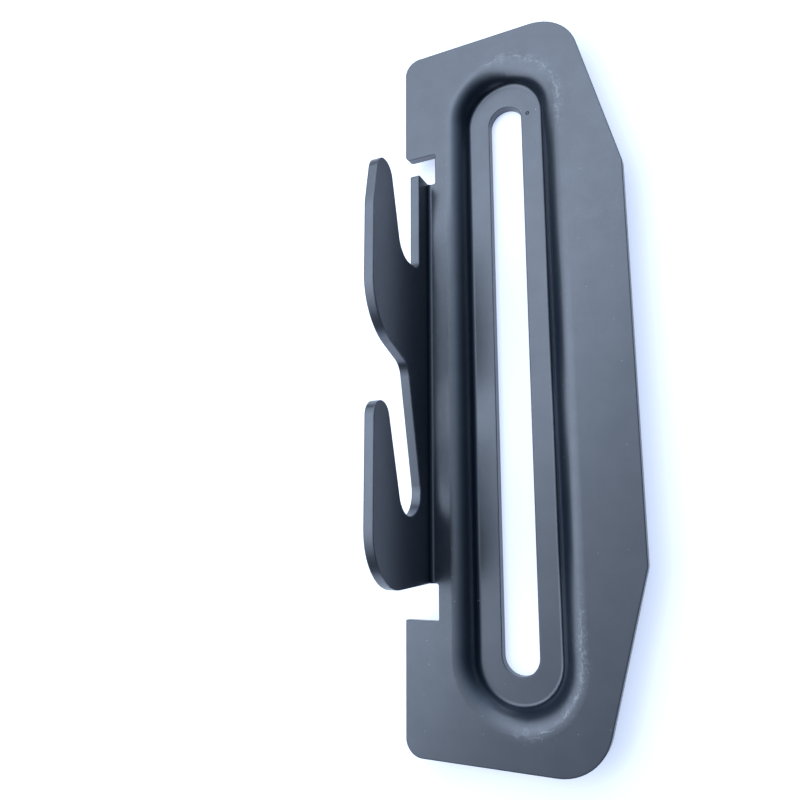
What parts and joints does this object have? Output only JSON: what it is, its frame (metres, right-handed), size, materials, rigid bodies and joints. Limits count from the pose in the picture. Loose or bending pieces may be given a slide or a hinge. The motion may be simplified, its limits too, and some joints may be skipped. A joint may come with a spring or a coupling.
{
  "type": "bed rail fastener plate",
  "caption": "Folded steel hook plate that bolts on through a slotted pressed recess and hangs a bed rail by two standing claws.",
  "frame": {"origin": "middle of the bolt slot, on the flat back face of the pressed boss", "axes": "+Z out of the recessed face, the way the claws stand; +Y along the plate, the way the claw tips point; +X away from the fold"},
  "size_m": [0.0635, 0.2032, 0.043],
  "materials": {
    "coated_steel": "satin"
  },
  "bodies": {
    "root": {"hook_plate": "coated_steel"}
  },
  "joints": []
}
